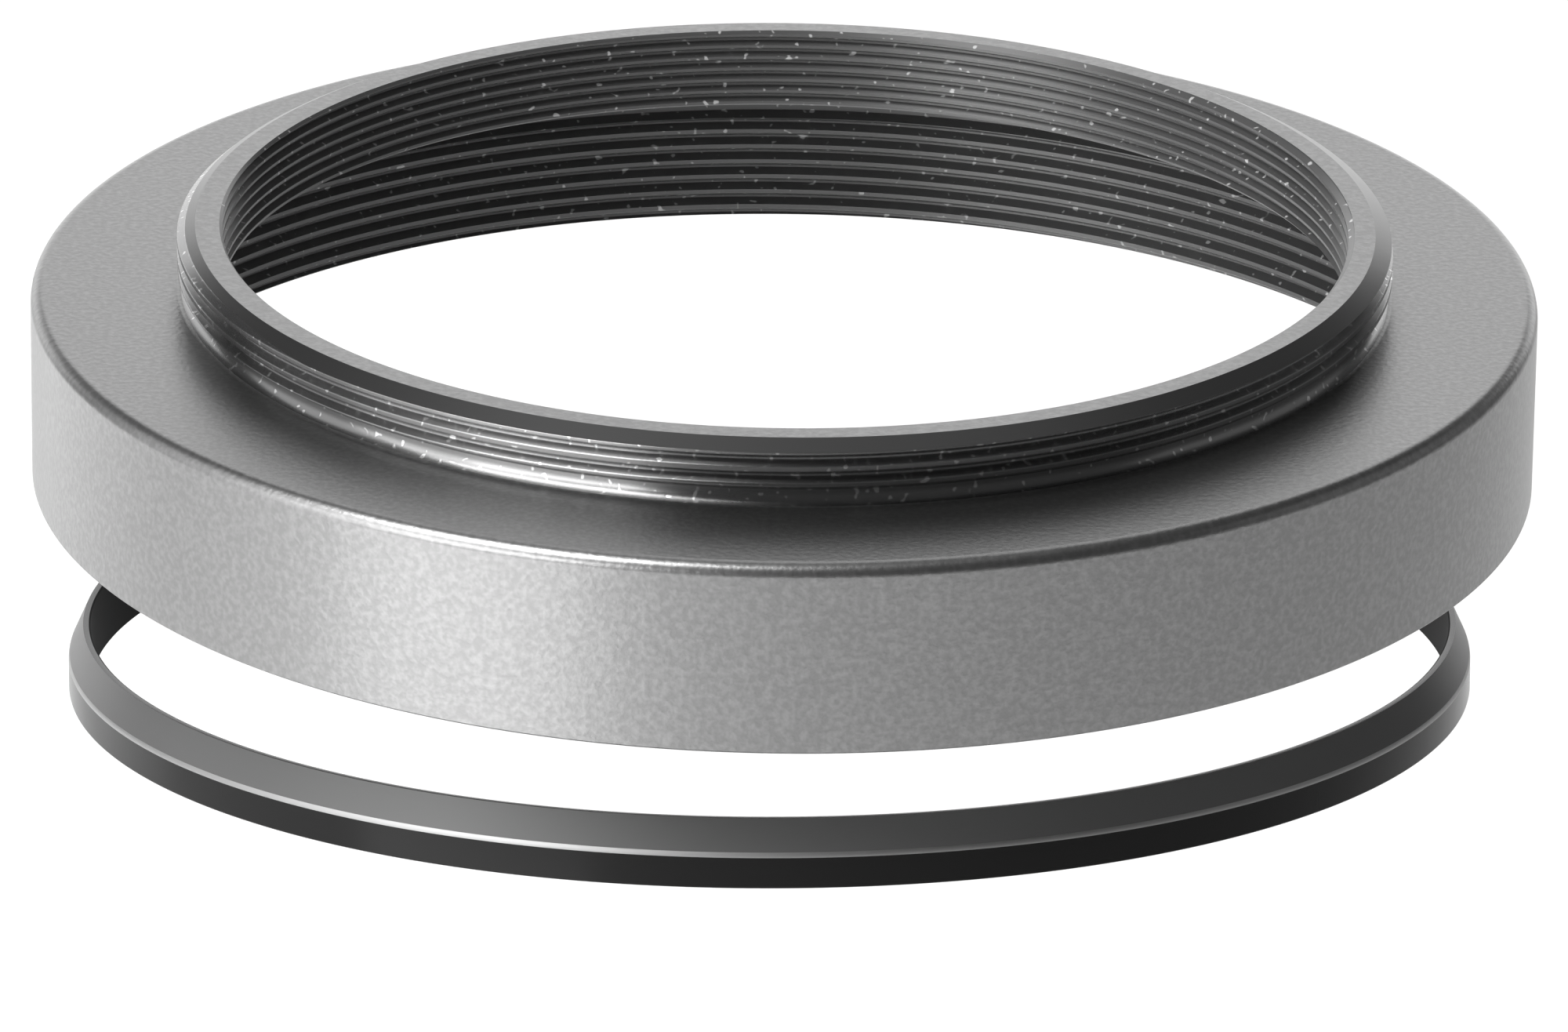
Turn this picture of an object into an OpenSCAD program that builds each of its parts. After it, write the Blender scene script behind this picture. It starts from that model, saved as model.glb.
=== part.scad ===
// Telescope adapter ring with its loose spacer ring
// A short turned ring joins a fine male thread above its flange to a larger female
// thread below it. A thin bevelled ring drops into the female side and takes up play.
// The thin ring is laid out under the body, apart from it and a little askew.
// Origin: on the optical axis, in the plane of the flange face round the collar.
// +Z points out of the male thread. Millimetres.

/* [Body] */
// Wall of the body outside the recess
body_wall = 1.45; // [1:0.05:8]
// Height of the body, from its lower face to the flange face
body_h = 8.6; // [7:0.1:14]
// Thickness of the web between the flange face and the recess below it
web_t = 0.7; // [0.5:0.05:1.5]
// Radius of the rounded edge between the flange face and the side
flange_edge_r = 0.6; // [0.3:0.05:1]
// Chamfer round the lower outer edge
lower_edge = 0.08; // [0.05:0.01:0.4]

/* [Male thread] */
// Nominal diameter of the male thread on the collar
male_d = 54; // [40:0.1:60]
// Pitch of the male thread
male_pitch = 0.75; // [0.5:0.05:0.8]
// Height of the collar above the flange face
collar_h = 2.95; // [2.8:0.05:6]
// Width of the lead-in chamfer at the end of the male thread, across the rim
male_lead_w = 0.8; // [0.3:0.05:1]
// Height of that chamfer, along the axis
male_lead_h = 0.4; // [0.2:0.05:0.6]
// Width of the plain groove between the thread and the flange
undercut_w = 1; // [0.8:0.05:1.2]
// How far that groove lies below the root of the thread
undercut_depth = 0.1; // [0.05:0.05:0.3]
// Radius where the collar meets the flange face
collar_foot_r = 0.55; // [0.2:0.05:0.6]

/* [Female thread] */
// Nominal diameter of the female thread
female_d = 64; // [57:0.1:80]
// Pitch of the female thread
female_pitch = 0.75; // [0.5:0.05:1]
// Chamfer at the mouth of the female thread
mouth_chamfer = 0.27; // [0.1:0.01:0.4]
// Plain land between the mouth chamfer and the first groove
mouth_land = 0.3; // [0.1:0.05:0.5]
// How far the spacer's recess is cut outside the thread
recess_extra = 0.05; // [0.05:0.05:0.2]

/* [Clear bore] */
// Wall of the collar between the bore and the undercut of the male thread
collar_wall = 1.494; // [1.2:0.002:4]
// Spacing of the glare grooves in the bore
glare_pitch = 0.55; // [0.5:0.05:0.8]
// Depth of the glare grooves
glare_depth = 0.28; // [0.1:0.02:0.34]
// Flat at the bottom of each glare groove
glare_floor = 0.1; // [0.05:0.01:0.12]
// Chamfer round both ends of the bore
bore_edge = 0.12; // [0.05:0.01:0.2]

/* [Spacer ring] */
// Height of the spacer ring
spacer_h = 2.95; // [2:0.05:4]
// Radial thickness of the spacer ring
spacer_t = 1; // [0.8:0.05:2]
// Radial clearance of the spacer ring inside the female thread
spacer_clearance = 0.094; // [0.05:0.002:0.1]
// Width of the flat on top of the spacer ring
spacer_land = 0.25; // [0.1:0.05:0.4]
// Height of the bevel that runs down from that flat
spacer_bevel_h = 1.45; // [0.8:0.05:1.6]
// Chamfer between the bevel and the side of the spacer ring
spacer_edge = 0.12; // [0.05:0.01:0.2]
// Small chamfers on the other edges of the spacer ring
spacer_break = 0.08; // [0.05:0.01:0.1]

/* [Laid out] */
// Least gap between the lower face of the body and the spacer ring
spacer_apart = 4.2; // [1:0.1:20]
// Lean of the spacer ring in degrees, up at the front and down at the back
spacer_tilt = 5.8; // [0:0.1:10]
// Lean of the spacer ring in degrees, up at the right and down at the left
spacer_roll = 0.7; // [0:0.1:5]
// How far the spacer ring lies to the left of the axis
spacer_aside = 0.45; // [0:0.05:1]

/* [Hidden] */

$fn = 180;

// Share of the pitch between the crest and the root of a basic 60 degree thread
thread_share = 0.54127;
// Half of the angle between the flanks of a thread or a groove
flank = 30;
// Reach of a cutting shape past the face that it cuts
past = 1;

male_r = male_d / 2;
male_root_r = male_r - thread_share * male_pitch;
undercut_r = male_root_r - undercut_depth;
female_root_r = female_d / 2;
female_r = female_root_r - thread_share * female_pitch;
recess_r = female_root_r + recess_extra;
body_r = recess_r + body_wall;
bore_r = undercut_r - collar_wall;
spacer_r = female_r - spacer_clearance;
spacer_inner_r = spacer_r - spacer_t;

web_z = -web_t;
body_z = -body_h;
// Running gap left above the spacer ring when it is pushed home
seat_gap = 0.05;
// The recess is as deep as the spacer ring that it takes
recess_z = web_z - seat_gap - spacer_h;
// Middle of the spacer ring's lower face, so that its highest point clears the body
spacer_lean = acos(cos(spacer_tilt) * cos(spacer_roll));
spacer_reach = spacer_r * sin(spacer_lean) + spacer_h * cos(spacer_lean);
spacer_z = body_z - spacer_apart - spacer_reach;

// Half of a groove's width where it opens, from the flat at its bottom and its depth
function groove_half(floor_w, depth) = floor_w / 2 + depth * tan(flank);

// How many grooves fit in a stretch of wall
function groove_count(length, width, pitch) = max(0, floor((length - width) / pitch) + 1);

// Section points of a row of like grooves, from the lowest up. A floor radius larger
// than the wall's cuts into a bore, and a smaller one cuts into a shaft.
function groove_row(wall_r, floor_r, floor_w, first_z, count, pitch) = [
    for (k = [0 : 1 : count - 1])
    let (z = first_z + k * pitch, half = groove_half(floor_w, abs(floor_r - wall_r)))
    each [
        [wall_r, z - half],
        [floor_r, z - floor_w / 2],
        [floor_r, z + floor_w / 2],
        [wall_r, z + half]
    ]
];

// The same points from the highest down
function reversed(points) = [for (k = [len(points) - 1 : -1 : 0]) points[k]];

// Male thread: a quarter of the pitch is flat at the root, an eighth at the crest
male_floor = male_pitch / 4;
male_half = groove_half(male_floor, male_r - male_root_r);
male_crest = male_pitch - 2 * male_half;
male_low_z = undercut_w + male_crest;
male_high_z = collar_h - male_lead_h - male_crest / 2;
male_count = groove_count(male_high_z - male_low_z, 2 * male_half, male_pitch);
male_grooves = groove_row(
    male_r, male_root_r, male_floor, male_low_z + male_half, male_count, male_pitch
);

// Female thread: an eighth of the pitch is flat at the root, a quarter at the crest
female_floor = female_pitch / 8;
female_half = groove_half(female_floor, female_root_r - female_r);
female_crest = female_pitch - 2 * female_half;
female_low_z = body_z + mouth_chamfer + mouth_land;
female_high_z = recess_z - female_crest;
female_count = groove_count(female_high_z - female_low_z, 2 * female_half, female_pitch);
female_grooves = groove_row(
    female_r, female_root_r, female_floor, female_low_z + female_half, female_count, female_pitch
);

// Glare grooves: as many as fit between the chamfers of the bore, spread about its middle
glare_half = groove_half(glare_floor, glare_depth);
glare_run = collar_h + web_t - 2 * bore_edge - glare_pitch + 2 * glare_half;
glare_count = groove_count(glare_run, 2 * glare_half, glare_pitch);
glare_first_z = (collar_h + web_z) / 2 - (glare_count - 1) / 2 * glare_pitch;
glare_grooves = groove_row(
    bore_r, bore_r + glare_depth, glare_floor, glare_first_z, glare_count, glare_pitch
);

// Outside of the ring, from its lower face up to the rim of the collar
outer_side = concat(
    [
        [body_r - lower_edge, body_z],
        [body_r, body_z + lower_edge],
        [body_r, 0],
        [undercut_r, 0],
        [undercut_r, undercut_w - (male_r - undercut_r) * tan(flank)],
        [male_r, undercut_w]
    ],
    male_grooves,
    [
        [male_r, collar_h - male_lead_h],
        [male_r - male_lead_w, collar_h]
    ]
);

// Inside of the ring, from the rim of the collar down to the mouth
inner_side = concat(
    [
        [bore_r + bore_edge, collar_h],
        [bore_r, collar_h - bore_edge]
    ],
    reversed(glare_grooves),
    [
        [bore_r, web_z + bore_edge],
        [bore_r + bore_edge, web_z],
        [recess_r, web_z],
        [recess_r, recess_z + (recess_r - female_r) * tan(flank)],
        [female_r, recess_z]
    ],
    reversed(female_grooves),
    [
        [female_r, body_z + mouth_chamfer],
        [female_r + mouth_chamfer, body_z]
    ]
);

// Half section of the adapter ring, beside the axis
module adapter_section() {
    difference() {
        union() {
            polygon(concat(outer_side, inner_side));
            // the radius that runs from the undercut out to the flange face
            translate([undercut_r, 0])
                difference() {
                    square(collar_foot_r);
                    translate([collar_foot_r, collar_foot_r])
                        circle(r = collar_foot_r);
                }
        }
        // the rounded edge between the flange face and the side
        translate([body_r - flange_edge_r, -flange_edge_r])
            difference() {
                square(flange_edge_r + past);
                circle(r = flange_edge_r);
            }
    }
}

// Half section of the spacer ring, with its lower face at zero
module spacer_section() {
    polygon([
        [spacer_inner_r + spacer_break, 0],
        [spacer_r - spacer_break, 0],
        [spacer_r, spacer_break],
        [spacer_r, spacer_h - spacer_bevel_h - spacer_edge],
        [spacer_r - spacer_edge, spacer_h - spacer_bevel_h + spacer_edge],
        [spacer_inner_r + spacer_break + spacer_land, spacer_h],
        [spacer_inner_r + spacer_break, spacer_h],
        [spacer_inner_r, spacer_h - spacer_break],
        [spacer_inner_r, spacer_break]
    ]);
}

// One turned ring: collar with male thread, flange, body with female thread
module adapter_ring() {
    color("#8f9092")
        rotate_extrude()
            adapter_section();
}

// Thin bevelled ring, laid out under the recess that takes it
module spacer_ring() {
    color("#2a2a2c")
        translate([-spacer_aside, 0, spacer_z])
            rotate([-spacer_tilt, -spacer_roll, 0])
                rotate_extrude()
                    spacer_section();
}

adapter_ring();
spacer_ring();
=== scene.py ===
import math

import bpy
from mathutils import Euler, Matrix, Vector


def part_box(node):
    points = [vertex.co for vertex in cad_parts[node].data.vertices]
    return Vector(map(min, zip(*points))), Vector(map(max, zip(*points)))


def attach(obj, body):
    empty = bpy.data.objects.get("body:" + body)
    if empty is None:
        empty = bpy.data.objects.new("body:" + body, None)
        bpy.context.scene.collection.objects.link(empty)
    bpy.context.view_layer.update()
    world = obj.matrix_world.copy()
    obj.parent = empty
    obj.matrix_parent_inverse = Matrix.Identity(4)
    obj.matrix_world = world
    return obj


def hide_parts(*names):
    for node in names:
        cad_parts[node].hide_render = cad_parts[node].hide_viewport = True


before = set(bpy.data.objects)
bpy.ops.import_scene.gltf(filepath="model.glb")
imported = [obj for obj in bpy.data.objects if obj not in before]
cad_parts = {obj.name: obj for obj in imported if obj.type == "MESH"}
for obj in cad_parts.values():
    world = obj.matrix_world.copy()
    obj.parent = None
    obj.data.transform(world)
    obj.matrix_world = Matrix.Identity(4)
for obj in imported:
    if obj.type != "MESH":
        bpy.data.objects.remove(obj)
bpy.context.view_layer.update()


# Adapter ring, turned
# One short ring of aluminium alloy, turned all over from a blank on a lathe. The collar, the
# flange, the body and the recess inside it are one piece of metal. Both rings' sizes are in
# millimetres, and mm turns them to metres.
mm = 0.001
turn_steps = 288
flank = math.radians(30)

# Radii and levels of its section, the outermost of them from the solid that it replaces
ring_low, ring_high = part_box("adapter_ring")
body_r = ring_high.x / mm
body_z = ring_low.z / mm
rim_z = ring_high.z / mm
web_z = -0.7
recess_r = 32.05
recess_z = -3.7
male_r = 27.0
undercut_r = 26.494
undercut_w = 1.0
female_r = 31.594
bore_r = 25.0

# Its rounded edges and its chamfers
flange_edge = 0.6
lower_edge = 0.08
collar_foot = 0.55
male_lead_w = 0.8
male_lead_h = 0.4
bore_edge = 0.12
mouth_chamfer = 0.27
round_steps = 8


def only(piece):
    """Makes one piece the only selected one, and the active one."""
    bpy.ops.object.select_all(action="DESELECT")
    piece.select_set(True)
    bpy.context.view_layer.objects.active = piece


def turned(name, corners):
    """A ring turned to a closed section: a circle is extruded from corner to corner."""
    weld_gap = 0.001
    bpy.ops.object.select_all(action="DESELECT")
    radius, height = corners[0]
    bpy.ops.mesh.primitive_circle_add(
        vertices=turn_steps, radius=radius * mm, location=(0, 0, height * mm)
    )
    piece = bpy.context.object
    piece.name = name
    piece.data.name = name
    bpy.ops.object.transform_apply(location=True)
    bpy.ops.object.mode_set(mode="EDIT")
    for next_radius, next_height in corners[1:] + corners[:1]:
        bpy.ops.mesh.extrude_region_move(
            TRANSFORM_OT_translate={"value": (0, 0, (next_height - height) * mm)}
        )
        share = next_radius / radius
        bpy.ops.transform.resize(value=(share, share, 1), center_override=(0, 0, 0))
        radius, height = next_radius, next_height
    bpy.ops.mesh.select_all(action="SELECT")
    bpy.ops.mesh.remove_doubles(threshold=weld_gap * mm)
    bpy.ops.mesh.normals_make_consistent(inside=False)
    bpy.ops.object.mode_set(mode="OBJECT")
    return piece


def ease_edge(piece, radius, height, width, steps):
    """Rounds or chamfers the edge that runs round the ring at one radius and height."""
    near = 0.002
    only(piece)
    bpy.ops.object.mode_set(mode="EDIT")
    bpy.ops.mesh.select_mode(type="EDGE")
    bpy.ops.mesh.select_all(action="DESELECT")
    bpy.ops.object.mode_set(mode="OBJECT")
    on_edge = [
        abs(vertex.co.xy.length / mm - radius) < near and abs(vertex.co.z / mm - height) < near
        for vertex in piece.data.vertices
    ]
    for edge in piece.data.edges:
        edge.select = all(on_edge[end] for end in edge.vertices)
    bpy.ops.object.mode_set(mode="EDIT")
    bpy.ops.mesh.bevel(offset=width * mm, segments=steps, affect="EDGES", profile=0.5)
    bpy.ops.object.mode_set(mode="OBJECT")


adapter = turned("adapter_ring_turned", [
    (body_r, body_z),
    (body_r, 0),
    (undercut_r, 0),
    (undercut_r, undercut_w - (male_r - undercut_r) * math.tan(flank)),
    (male_r, undercut_w),
    (male_r, rim_z - male_lead_h),
    (male_r - male_lead_w, rim_z),
    (bore_r, rim_z),
    (bore_r, web_z),
    (recess_r, web_z),
    (recess_r, recess_z + (recess_r - female_r) * math.tan(flank)),
    (female_r, recess_z),
    (female_r, body_z),
])
ease_edge(adapter, body_r, 0, flange_edge, round_steps)
ease_edge(adapter, undercut_r, 0, collar_foot, round_steps)
ease_edge(adapter, body_r, body_z, lower_edge, 1)
ease_edge(adapter, bore_r, rim_z, bore_edge, 1)
ease_edge(adapter, bore_r, web_z, bore_edge, 1)
ease_edge(adapter, female_r, body_z, mouth_chamfer, 1)


# Threads and glare grooves of the adapter ring
# Right-handed 60 degree threads at 0.75 mm pitch, outside the collar and inside the body, and
# a finer thread in the bore that only breaks up glare. All are cut with a single point tool,
# so each one is a helix that runs out over the chamfers and into the undercut or the recess.
thread_pitch = 0.75
thread_depth = 0.54127 * thread_pitch
female_flat = thread_pitch / 8
glare_pitch = 0.55
glare_depth = 0.28
glare_flat = 0.1
# The male thread's crests are wider than the standard's, so its groove is narrow and shallow
male_depth = 0.36
male_flat = 0.12

# The level at which a groove of each crosses the front of the ring, or its back
front_angle = -90
back_angle = 90
male_groove_z = 1.422
female_groove_z = -7.73
glare_groove_z = -0.255

# How far each tool runs past the stretch of wall that it cuts, below it and above it
male_run_in, male_run_out = 0.5, 0.6
female_run_in, female_run_out = 0.5, 1.6
glare_run_in, glare_run_out = 0.35, 0.4


def thread_tool(name, wall_r, floor_r, flat, pitch, at_angle, at_z, low, high):
    """The helix that a single point tool cuts away, with its middle at at_z at one angle."""
    clear = 0.05
    outward = math.copysign(1, floor_r - wall_r)
    open_r = wall_r - outward * clear
    depth = abs(floor_r - open_r)
    open_w = flat + 2 * depth * math.tan(flank)
    bpy.ops.object.select_all(action="DESELECT")
    bpy.ops.mesh.primitive_plane_add(
        size=1, rotation=(math.pi / 2, 0, 0), location=((open_r + floor_r) / 2 * mm, 0, low * mm)
    )
    tool = bpy.context.object
    tool.name = name
    tool.scale = (depth * mm, open_w * mm, 1)
    bpy.ops.object.transform_apply(location=True, rotation=True, scale=True)
    for vertex in tool.data.vertices:
        vertex.select = abs(vertex.co.x / mm - floor_r) < clear / 2
    for edge in tool.data.edges:
        edge.select = all(tool.data.vertices[end].select for end in edge.vertices)
    for face in tool.data.polygons:
        face.select = False
    bpy.ops.object.mode_set(mode="EDIT")
    bpy.ops.transform.resize(
        value=(1, 1, flat / open_w), center_override=(floor_r * mm, 0, low * mm)
    )
    bpy.ops.mesh.select_all(action="SELECT")
    bpy.ops.mesh.delete(type="ONLY_FACE")
    bpy.ops.object.mode_set(mode="OBJECT")
    tool.rotation_euler.z = math.radians(at_angle) - (at_z - low) / pitch * math.tau
    bpy.ops.object.transform_apply(rotation=True)
    screw = tool.modifiers.new("helix", "SCREW")
    screw.axis = "Z"
    screw.angle = math.tau
    screw.screw_offset = pitch * mm
    screw.iterations = math.ceil((high - low) / pitch)
    screw.steps = turn_steps
    screw.render_steps = turn_steps
    bpy.ops.object.modifier_apply(modifier=screw.name)
    bpy.ops.object.mode_set(mode="EDIT")
    bpy.ops.mesh.select_all(action="SELECT")
    bpy.ops.mesh.fill_holes(sides=4)
    bpy.ops.mesh.select_all(action="SELECT")
    bpy.ops.mesh.normals_make_consistent(inside=False)
    bpy.ops.object.mode_set(mode="OBJECT")
    return tool


def cut(piece, tool):
    """Cuts a tool's shape out of a piece and puts the tool away."""
    only(piece)
    boolean = piece.modifiers.new("cut", "BOOLEAN")
    boolean.operation = "DIFFERENCE"
    boolean.solver = "MANIFOLD"
    boolean.object = tool
    bpy.ops.object.modifier_apply(modifier=boolean.name)
    bpy.data.objects.remove(tool, do_unlink=True)


def finish_normals(piece):
    """Smooth shading on what was turned round, with flats left flat and corners left sharp."""
    only(piece)
    bpy.ops.object.shade_smooth_by_angle(angle=math.radians(20))
    weighted = piece.modifiers.new("flat_faces_stay_flat", "WEIGHTED_NORMAL")
    weighted.mode = "FACE_AREA"
    weighted.weight = 100
    weighted.keep_sharp = True
    bpy.ops.object.modifier_apply(modifier=weighted.name)


cut(adapter, thread_tool(
    "male_thread_tool", male_r, male_r - male_depth, male_flat, thread_pitch,
    at_angle=front_angle, at_z=male_groove_z,
    low=undercut_w - male_run_in, high=rim_z + male_run_out,
))
cut(adapter, thread_tool(
    "female_thread_tool", female_r, female_r + thread_depth, female_flat, thread_pitch,
    at_angle=back_angle, at_z=female_groove_z,
    low=body_z - female_run_in, high=recess_z + female_run_out,
))
cut(adapter, thread_tool(
    "glare_groove_tool", bore_r, bore_r + glare_depth, glare_flat, glare_pitch,
    at_angle=back_angle, at_z=glare_groove_z,
    low=web_z - glare_run_in, high=rim_z + glare_run_out,
))
finish_normals(adapter)
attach(adapter, "root")
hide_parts("adapter_ring")


# Finish of the adapter ring
# Aluminium, anodised in a neutral grey. The flange, the side and the rim are bead blasted first.
# The threads, the bore and the recess keep the fine marks of the turning tool, and inside the
# ring their colour is painted darker, as painted shade.
def linear(code):
    """An sRGB hex colour as the linear colour that a shader takes."""
    channels = [int(code[start:start + 2], 16) / 255 for start in (1, 3, 5)]
    return [
        channel / 12.92 if channel <= 0.04045 else ((channel + 0.055) / 1.055) ** 2.4
        for channel in channels
    ] + [1.0]


def new_material(name, settings):
    """A material and its principled shader, with some of the shader's own values set."""
    material = bpy.data.materials.new(name)
    material.use_nodes = True
    shader = material.node_tree.nodes["Principled BSDF"]
    for socket, value in settings.items():
        shader.inputs[socket].default_value = value
    return material, shader


def add_node(material, kind, settings=None, **links):
    """Adds one node: settings are its properties or socket values, links feed its sockets."""
    node = material.node_tree.nodes.new(kind)
    for key, value in (settings or {}).items():
        if hasattr(node, key):
            setattr(node, key, value)
        else:
            node.inputs[key].default_value = value
    for key, source in links.items():
        material.node_tree.links.new(source, node.inputs[key.replace("_", " ")])
    return node


def plug(material, source, node, socket):
    """Links one output to one input."""
    material.node_tree.links.new(source, node.inputs[socket])


def speckle(material, shader, dark, light, low, high, size=0.3, detail=0.0):
    """Varies a surface's colour between two greys, in grains of a size in millimetres."""
    place = add_node(material, "ShaderNodeTexCoord")
    grain = add_node(
        material, "ShaderNodeTexNoise", {"Scale": 1 / (size * mm), "Detail": detail},
        Vector=place.outputs["Object"],
    )
    tone = add_node(
        material, "ShaderNodeMapRange", {"From Min": low, "From Max": high},
        Value=grain.outputs["Fac"],
    )
    mix = add_node(
        material, "ShaderNodeMix", {"data_type": "RGBA"}, Factor=tone.outputs["Result"]
    )
    # A mix node keeps its two colours and its mixed colour behind those for numbers and vectors
    first_colour, second_colour, mixed_colour = mix.inputs[6], mix.inputs[7], mix.outputs[2]
    first_colour.default_value = linear(dark)
    second_colour.default_value = linear(light)
    plug(material, mixed_colour, shader, "Base Color")
    return grain


def turning_marks(material, shader):
    """Draws each highlight out into a streak across the marks that run round the axis."""
    shader.inputs["Anisotropic"].default_value = 0.8
    shader.inputs["Anisotropic Rotation"].default_value = 0.25
    round_axis = add_node(
        material, "ShaderNodeTangent", {"direction_type": "RADIAL", "axis": "Z"}
    )
    plug(material, round_axis.outputs["Tangent"], shader, "Tangent")


# Bead blasted: a soft, wide highlight with a fine sparkle in it. The real dents are too fine to
# show, so their grain is drawn 0.28 mm wide.
dent_depth = 0.015
blasted, surface = new_material("bead_blasted_grey_anodised_aluminium", {
    "Metallic": 1.0, "Roughness": 0.34,
})
grain = speckle(
    blasted, surface, "#848484", "#919191", low=0.38, high=0.72, size=0.28, detail=1.5
)
dents = add_node(
    blasted, "ShaderNodeBump", {"Strength": 0.8, "Distance": dent_depth * mm},
    Height=grain.outputs["Fac"],
)
plug(blasted, dents.outputs["Normal"], surface, "Normal")

# Turned, on the male thread and its undercut: streaks of light across the thread, a bright
# line on each worn crest, and pale nicks, drawn 0.3 mm wide so that they show.
crest_wear = 0.09
machined, surface = new_material("machined_grey_anodised_aluminium", {
    "Metallic": 1.0, "Roughness": 0.26,
})
speckle(machined, surface, "#868686", "#c8c8c8", low=0.7, high=0.78)
worn_edges = add_node(machined, "ShaderNodeBevel", {"samples": 6, "Radius": crest_wear * mm})
plug(machined, worn_edges.outputs["Normal"], surface, "Normal")
turning_marks(machined, surface)

# Turned, in the bore, the recess and the female thread. The colour is painted dark, as painted
# shade inside the ring: nearly black in the grooves, with streaks of light on their crests and
# specks of dust, drawn 0.3 mm wide so that they show.
inner, surface = new_material("machined_aluminium_painted_shade_inside", {
    "Roughness": 0.36, "Specular IOR Level": 1.0,
})
speckle(inner, surface, "#383838", "#a0a0a0", low=0.74, high=0.82)
turning_marks(inner, surface)

# The lead-in chamfer of the male thread: painted darker than the thread, as painted shade,
# with an even sheen
lead_in, surface = new_material("turned_chamfer_painted_shade", {
    "Base Color": linear("#686868"), "Metallic": 1.0, "Roughness": 0.3,
})

# The borders of the finishes. The glare grooves lie within glare_reach of the bore's wall, the
# turned finish starts turned_foot above the flange face, and the lead-in chamfer is known by
# its slope, out past the flat of the rim.
near = 0.01
glare_reach = 0.3
turned_foot = 0.05
rim_flat = 1.0
lead_in_slope = male_lead_w / math.hypot(male_lead_w, male_lead_h)
slope_near = 0.015
adapter.data.materials.clear()
for finish in (blasted, machined, inner, lead_in):
    adapter.data.materials.append(finish)
for face in adapter.data.polygons:
    radius, height = face.center.xy.length / mm, face.center.z / mm
    on_lead_in = (
        height > rim_z - male_lead_h and radius > bore_r + rim_flat
        and abs(face.normal.z - lead_in_slope) < slope_near
    )
    in_bore = radius < bore_r + glare_reach and height < rim_z - near
    in_body = radius < recess_r + near and body_z + near < height < web_z + near
    on_collar = turned_foot < height < rim_z - near
    if on_lead_in:
        face.material_index = 3
    elif in_bore or in_body:
        face.material_index = 2
    elif on_collar:
        face.material_index = 1


# Spacer ring
# A thin ring of aluminium, turned with a wide bevel round its upper outer edge and anodised
# black. It is loose: it is drawn a little under the body, with its front edge tipped up.
spacer_h = 2.95
spacer_r = 31.5
spacer_inner_r = 30.5
spacer_land = 0.25
spacer_bevel_h = 1.45
spacer_edge = 0.12
spacer_break = 0.08
edge_steps = 4
break_steps = 3
spacer_tilt = math.radians(5.8)
spacer_roll = math.radians(0.7)

edge_z = spacer_h - spacer_bevel_h
bevel_inner_r = spacer_inner_r + spacer_break + spacer_land
spacer = turned("spacer_ring_turned", [
    (spacer_r, 0),
    (spacer_r, edge_z),
    (bevel_inner_r, spacer_h),
    (spacer_inner_r, spacer_h),
    (spacer_inner_r, 0),
])
ease_edge(spacer, spacer_r, edge_z, spacer_edge, edge_steps)
ease_edge(spacer, spacer_r, 0, spacer_break, break_steps)
ease_edge(spacer, spacer_inner_r, spacer_h, spacer_break, break_steps)
ease_edge(spacer, spacer_inner_r, 0, spacer_break, break_steps)

# Which faces are the edge under the bevel, the bevel and the bore, found while it lies level
wall_middle_r = (spacer_inner_r + spacer_r) / 2
least_slope = 0.3
bore_near = 0.005
edge_faces = [
    face.index for face in spacer.data.polygons
    if face.center.xy.length / mm > wall_middle_r
    and abs(face.center.z / mm - edge_z) < spacer_edge
]
bevel_faces = [
    face.index for face in spacer.data.polygons
    if face.normal.z > least_slope and face.index not in edge_faces
    and face.center.xy.length / mm > bevel_inner_r
]
bore_faces = [
    face.index for face in spacer.data.polygons
    if face.center.xy.length / mm < spacer_inner_r + spacer_break - bore_near
]

# It is tipped and set down in the box of the solid that it replaces
spacer_low, spacer_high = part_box("spacer_ring")
spacer.rotation_euler = Euler((-spacer_tilt, -spacer_roll, 0))
only(spacer)
bpy.ops.object.transform_apply(rotation=True)
drop = min(vertex.co.z for vertex in spacer.data.vertices)
aside = min(vertex.co.x for vertex in spacer.data.vertices)
near_edge = min(vertex.co.y for vertex in spacer.data.vertices)
spacer.location = (spacer_low.x - aside, spacer_low.y - near_edge, spacer_low.z - drop)
bpy.ops.object.transform_apply(location=True)
finish_normals(spacer)
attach(spacer, "root")
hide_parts("spacer_ring")

# Black anodising on the outer wall: deep black, with a faint sharp reflection. This finish and
# the next three are smooth, with no grain that the eye can see.
black, surface = new_material("gloss_black_anodised_aluminium", {
    "Base Color": linear("#161616"), "Roughness": 0.2, "Specular IOR Level": 0.12,
})

# The bevel, anodised black with a satin finish. Its colour is a lighter grey, a painted sheen,
# which fades along the ring as the lamps fall on it
bevel_painted_sheen, surface = new_material("black_anodised_bevel_painted_sheen", {
    "Base Color": linear("#5a5a5a"), "Metallic": 0.3, "Roughness": 0.35,
    "Specular IOR Level": 0.1,
})

# The edge under the bevel: a fine pale line, a highlight painted into its colour
edge_painted_highlight, surface = new_material("spacer_edge_painted_highlight", {
    "Base Color": linear("#9a9a9a"), "Metallic": 1.0, "Roughness": 0.45,
})

# The bore: dull black, with no highlight even at a flat angle
matte, surface = new_material("matte_black_anodised_bore", {
    "Base Color": linear("#181818"), "Roughness": 0.7, "Specular IOR Level": 0.05,
})

spacer.data.materials.clear()
for finish in (black, edge_painted_highlight, bevel_painted_sheen, matte):
    spacer.data.materials.append(finish)
for finish_index, faces in ((1, edge_faces), (2, bevel_faces), (3, bore_faces)):
    for face_index in faces:
        spacer.data.polygons[face_index].material_index = finish_index


# Floor
# A plain sheet of white studio paper, with no sheen. It lies so far under the ring that the
# ring's soft shadow spreads too thin to show.
floor_w = 6
floor_z = -0.2
bpy.ops.object.select_all(action="DESELECT")
bpy.ops.mesh.primitive_plane_add(size=floor_w, location=(0, 0, floor_z))
floor = bpy.context.object
floor.name = "studio_floor"
paper, surface = new_material("white_paper_floor", {
    "Base Color": linear("#ffffff"), "Roughness": 0.9, "Specular IOR Level": 0.0,
})
floor.data.materials.append(paper)


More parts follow.
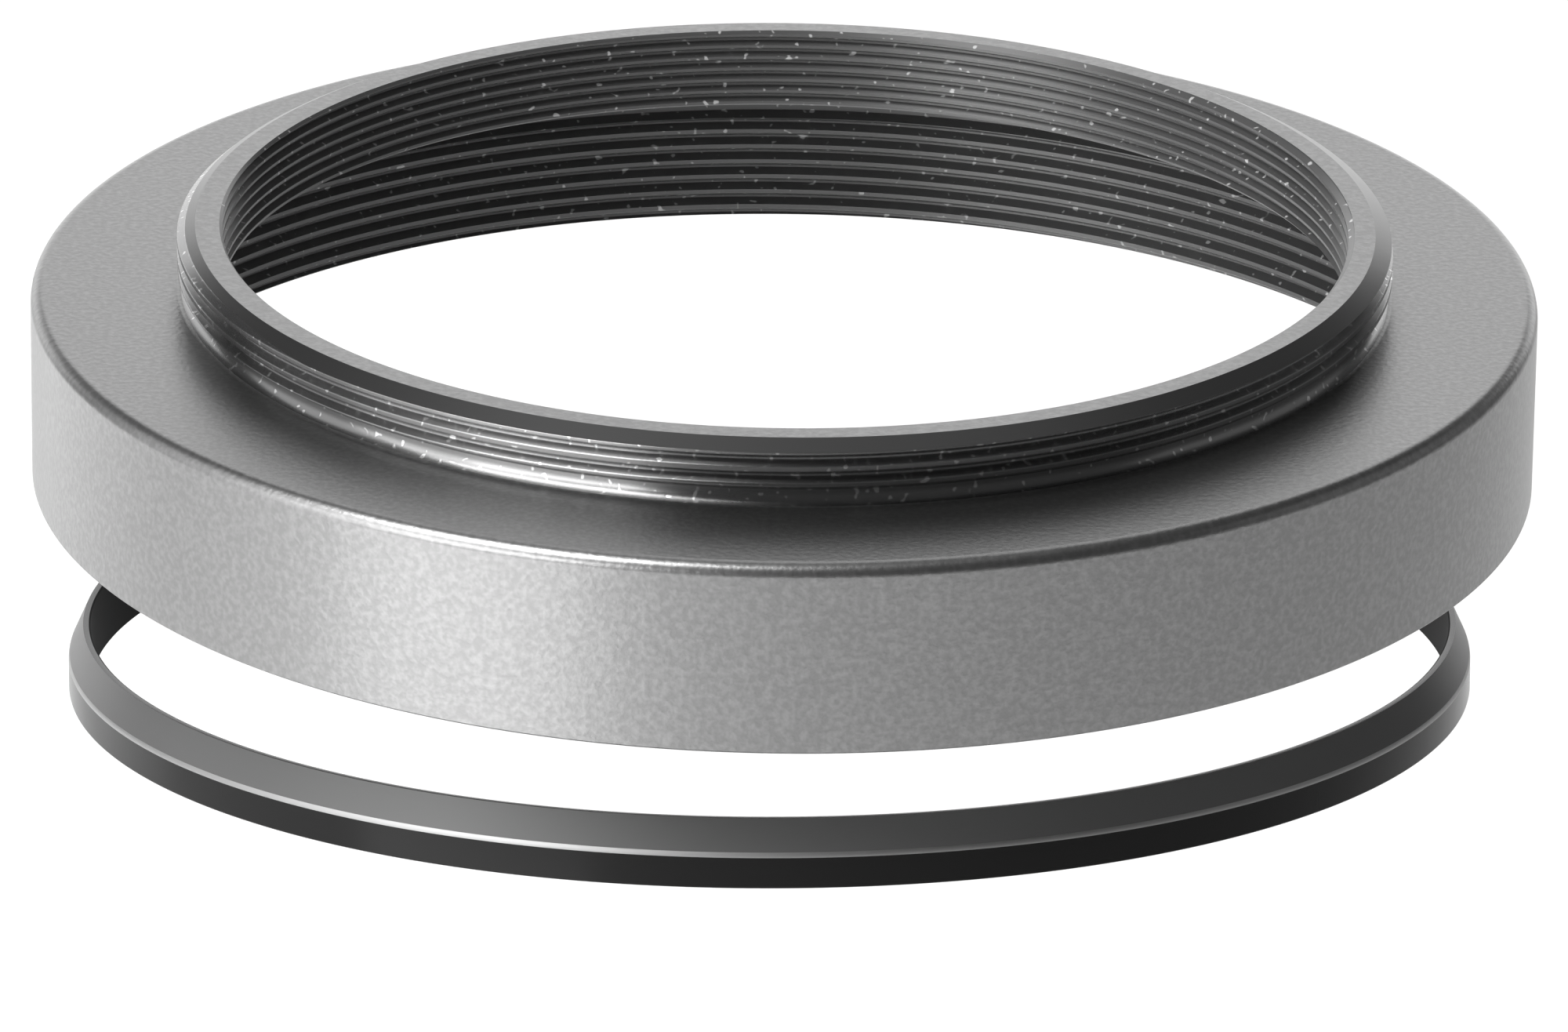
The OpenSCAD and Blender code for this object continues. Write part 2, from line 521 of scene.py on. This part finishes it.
# Lamps and world
# Soft boxes all round: the strong ones stand at the front left, weaker ones behind, and the
# weakest at the right and overhead. Two small strips shine up at the rings from below, and the
# world adds a faint even light. Lengths are in metres here, and powers in watts.
def soft_box(name, azimuth, elevation, width, height, power, distance=1.2):
    """A rectangular lamp aimed at the ring. Azimuth 0 is in front, and 90 on the right."""
    lamp_data = bpy.data.lights.new(name, "AREA")
    lamp_data.shape = "RECTANGLE"
    lamp_data.size = width
    lamp_data.size_y = height
    lamp_data.energy = power
    lamp = bpy.data.objects.new(name, lamp_data)
    lamp.visible_camera = False
    bpy.context.collection.objects.link(lamp)
    side, up = math.radians(azimuth), math.radians(elevation)
    lamp.location = distance * Vector((
        math.sin(side) * math.cos(up), -math.cos(side) * math.cos(up), math.sin(up)
    ))
    lamp.rotation_euler = (-lamp.location).to_track_quat("-Z", "Y").to_euler()


soft_box("key_box", azimuth=-60, elevation=60, width=0.7, height=0.55, power=14.0)
soft_box("near_box", azimuth=-42, elevation=14, width=0.7, height=0.6, power=7.4)
soft_box("mid_box", azimuth=-66, elevation=34, width=0.6, height=0.5, power=2.4)
soft_box("left_box", azimuth=-72, elevation=10, width=0.6, height=0.75, power=3.4)
soft_box("side_box", azimuth=-102, elevation=17, width=0.6, height=1.0, power=2.0)
soft_box("back_box", azimuth=-174, elevation=6, width=2.2, height=0.6, power=6.2)
soft_box("high_box", azimuth=180, elevation=42, width=0.7, height=1.0, power=2.1)
soft_box("right_box", azimuth=100, elevation=18, width=1.2, height=0.7, power=0.5)
soft_box("top_box", azimuth=0, elevation=88, width=1.0, height=1.0, power=0.5)

strip_distance = 0.45
soft_box(
    "low_strip", azimuth=-46, elevation=-19, width=0.3, height=0.08, power=0.2,
    distance=strip_distance,
)
soft_box(
    "back_strip", azimuth=-130, elevation=-18, width=0.3, height=0.08, power=0.05,
    distance=strip_distance,
)

world = bpy.context.scene.world or bpy.data.worlds.new("studio")
bpy.context.scene.world = world
world.use_nodes = True
sky = world.node_tree.nodes["Background"]
sky.inputs["Color"].default_value = linear("#ffffff")
sky.inputs["Strength"].default_value = 0.1


# Camera
# A long lens from the front, 21.8 degrees above the flange and turned 0.7 degrees about its
# own axis, as the photograph was taken. The middle of the body's lower face is placed in its
# view, in body radii to the camera's right, down and forward.
camera_data = bpy.data.cameras.new("camera")
camera_data.sensor_width = 36
camera_data.lens = 297.7
camera_data.clip_start = 0.01
camera = bpy.data.objects.new("camera", camera_data)
bpy.context.collection.objects.link(camera)
elevation = math.radians(21.81)
roll = math.radians(0.742)
lower_face = Vector((-0.00237, -0.07029, 17.3185)) * body_r * mm

# The rows of the turn are the camera's right, down and forward
turn = Matrix((
    (math.cos(roll), -math.sin(roll), 0),
    (math.sin(roll), math.cos(roll), 0),
    (0, 0, 1),
)) @ Matrix((
    (1, 0, 0),
    (0, -math.sin(elevation), -math.cos(elevation)),
    (0, math.cos(elevation), -math.sin(elevation)),
))
spot = Vector((0, 0, body_z * mm)) - turn.transposed() @ lower_face
axes = Matrix((turn[0], -turn[1], -turn[2])).transposed().to_4x4()
camera.matrix_world = Matrix.Translation(spot) @ axes
bpy.context.scene.camera = camera
bpy.context.scene.view_settings.view_transform = "Standard"
